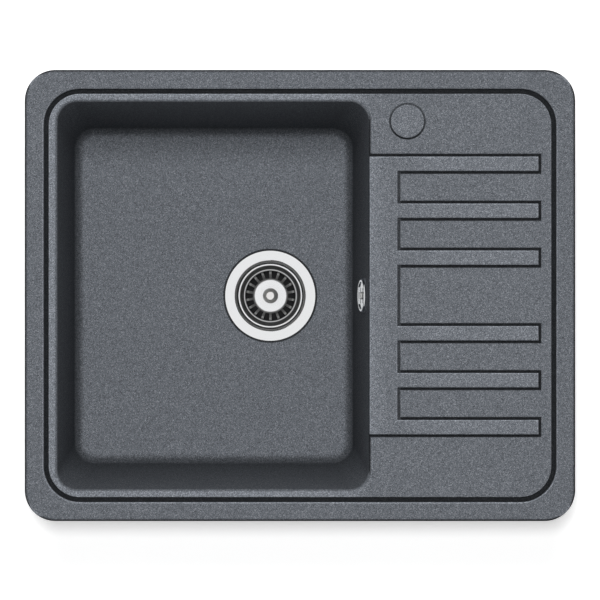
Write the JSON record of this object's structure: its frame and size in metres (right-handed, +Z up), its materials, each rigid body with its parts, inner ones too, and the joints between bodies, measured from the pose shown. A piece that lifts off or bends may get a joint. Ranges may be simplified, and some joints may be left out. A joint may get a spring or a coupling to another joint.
{
  "type": "kitchen sink",
  "caption": "Inset granite-composite kitchen sink with one bowl, raised draining comb, basket strainer waste, overflow and swivel fixing clips.",
  "frame": {"origin": "middle of the sink, on the worktop plane that the rim rests on", "axes": "+X to the drainer side, +Y to the back where the tap stands, +Z up"},
  "size_m": [0.61, 0.5, 0.284],
  "materials": {
    "granite": "dark grey granite composite, fine speckle, moulded matt",
    "steel": "pressed stainless steel, satin",
    "polished_steel": "turned and polished steel",
    "chrome": "chromed cover",
    "zinc": "zinc plated steel",
    "brass": "turned brass",
    "rubber": "black moulded rubber",
    "foam": "dark closed-cell foam strip",
    "plastic": "white moulded polypropylene",
    "nylon": "grey nylon"
  },
  "bodies": {
    "sink": {"sink_body": "granite", "rim_seal": "foam", "strainer_cup": "steel", "flange_gasket": "rubber", "waste_gasket": "rubber", "waste_body": "plastic", "waste_insert": "brass", "cup_screw": "polished_steel", "overflow_rosette": "chrome", "rosette_screw": "polished_steel", "overflow_gasket": "rubber", "overflow_elbow": "plastic", "overflow_pipe": "plastic", "elbow_nut": "plastic", "elbow_seal": "rubber", "inlet_nut": "plastic", "inlet_seal": "rubber", "clip_dowels": "nylon", "clip_screws": "zinc"},
    "basket_set": {"basket": "steel", "basket_knob": "polished_steel", "stopper": "rubber", "stopper_washer": "steel", "stopper_nut": "zinc"},
    "claw_back_left": {"clip_back_left": "zinc"},
    "claw_back_right": {"clip_back_right": "zinc"},
    "claw_front_left": {"clip_front_left": "zinc"},
    "claw_front_right": {"clip_front_right": "zinc"},
    "claw_left": {"clip_left": "zinc"},
    "claw_right": {"clip_right": "zinc"}
  },
  "joints": [
    {"name": "basket_lift", "type": "slide", "parent": "sink", "child": "basket_set", "axis": [0, 0, 1], "range_m": [0, 0.24]},
    {"name": "claw_back_left_swing", "type": "hinge", "parent": "sink", "child": "claw_back_left", "pos_m": [-0.19, 0.231, -0.047], "axis": [0, 0, -1], "range_deg": [0, 90]},
    {"name": "claw_back_right_swing", "type": "hinge", "parent": "sink", "child": "claw_back_right", "pos_m": [0.19, 0.231, -0.047], "axis": [0, 0, 1], "range_deg": [0, 90]},
    {"name": "claw_front_left_swing", "type": "hinge", "parent": "sink", "child": "claw_front_left", "pos_m": [-0.19, -0.231, -0.047], "axis": [0, 0, 1], "range_deg": [0, 90]},
    {"name": "claw_front_right_swing", "type": "hinge", "parent": "sink", "child": "claw_front_right", "pos_m": [0.19, -0.231, -0.047], "axis": [0, 0, -1], "range_deg": [0, 90]},
    {"name": "claw_left_swing", "type": "hinge", "parent": "sink", "child": "claw_left", "pos_m": [-0.286, 0, -0.047], "axis": [0, 0, 1], "range_deg": [0, 90]},
    {"name": "claw_right_swing", "type": "hinge", "parent": "sink", "child": "claw_right", "pos_m": [0.286, 0, -0.047], "axis": [0, 0, -1], "range_deg": [0, 90]}
  ]
}
